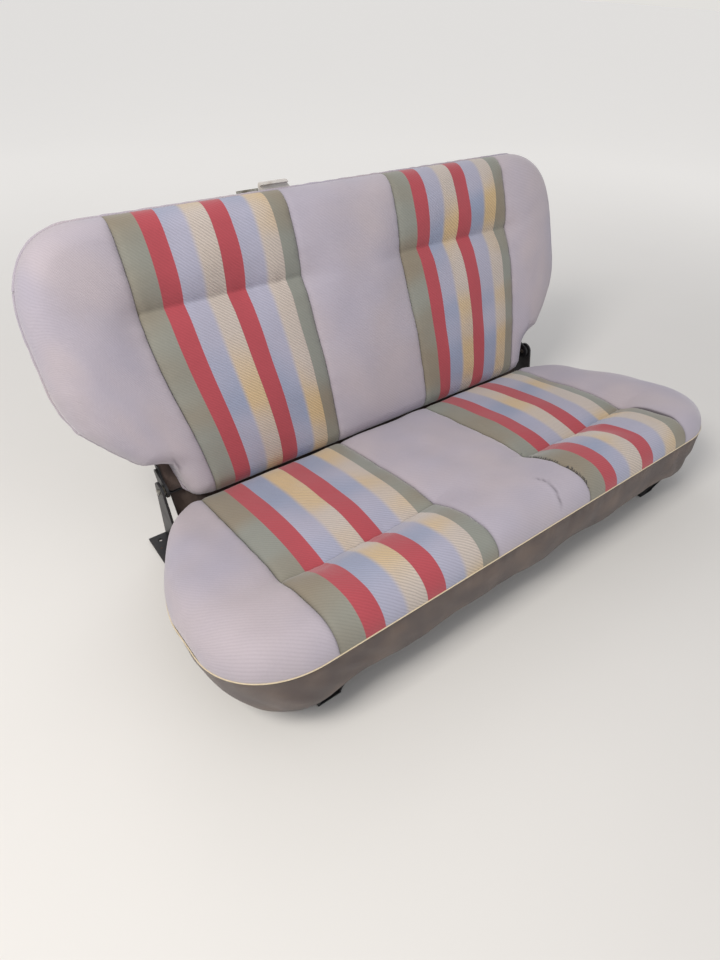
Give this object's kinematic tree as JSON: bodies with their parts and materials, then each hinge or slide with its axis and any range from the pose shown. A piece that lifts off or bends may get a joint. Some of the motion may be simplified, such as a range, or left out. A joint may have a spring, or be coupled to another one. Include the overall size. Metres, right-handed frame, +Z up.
{
  "type": "folding rear bench seat of a city car",
  "caption": "Rear bench of a small three-door car: striped cushion that tips forward on floor hinges, and a one-piece backrest that folds down on side pivots.",
  "frame": {"origin": "centre of the four front floor bolts, on the floor plane", "axes": "+X to the car's left, +Y to the car's rear, +Z up; the bench faces -Y"},
  "size_m": [1.2896, 0.7418, 0.6383],
  "materials": {
    "striped_fabric": "fine diagonal weave in wide stripes of sage, rose red, lilac and ochre",
    "plain_fabric": "fine weave, plain lilac grey",
    "dark_skirt": "matt dark brown cloth over foam",
    "foam": "open foam, hidden in the tray",
    "carpet": "needle-felt carpet",
    "black_paint": "satin black paint on steel",
    "spring_wire": "oiled spring wire",
    "rubber": "matt moulded rubber",
    "grey_plastic": "fine-grained light grey plastic",
    "zinc_steel": "zinc-plated steel"
  },
  "bodies": {
    "floor_mounts": {"front_hinge_bracket_left": "black_paint", "front_hinge_bracket_right": "black_paint", "front_hinge_pin_left": "zinc_steel", "front_hinge_pin_right": "zinc_steel", "rear_pivot_bracket_left": "black_paint", "rear_pivot_bracket_right": "black_paint", "rear_pivot_pin_left": "zinc_steel", "rear_pivot_pin_right": "zinc_steel"},
    "cushion": {"cushion_centre_panel": "plain_fabric", "cushion_striped_panel_left": "striped_fabric", "cushion_striped_panel_right": "striped_fabric", "cushion_bolster_left": "plain_fabric", "cushion_bolster_right": "plain_fabric", "cushion_base_pad": "dark_skirt", "cushion_tube_frame": "black_paint", "cushion_zigzag_springs": "spring_wire", "cushion_rear_foot_left": "rubber", "cushion_rear_foot_right": "rubber", "cushion_hinge_leaf_left": "black_paint", "cushion_hinge_leaf_right": "black_paint"},
    "backrest": {"backrest_centre_panel": "plain_fabric", "backrest_striped_panel_left": "striped_fabric", "backrest_striped_panel_right": "striped_fabric", "backrest_bolster_left": "plain_fabric", "backrest_bolster_right": "plain_fabric", "backrest_foam_core": "foam", "backrest_steel_tray": "black_paint", "backrest_rear_carpet": "carpet", "backrest_pivot_arm_left": "black_paint", "backrest_pivot_arm_right": "black_paint", "backrest_latch_left": "zinc_steel", "backrest_latch_right": "zinc_steel", "release_handle": "grey_plastic", "release_catch_bracket": "zinc_steel"}
  },
  "joints": [
    {"name": "cushion_tip", "type": "hinge", "parent": "floor_mounts", "child": "cushion", "pos_m": [0, -0.035, 0.05], "axis": [1, 0, 0], "range_deg": [0, 90]},
    {"name": "backrest_fold", "type": "hinge", "parent": "floor_mounts", "child": "backrest", "pos_m": [0, 0.47479, 0.15], "axis": [1, 0, 0], "range_deg": [0, 80]}
  ]
}
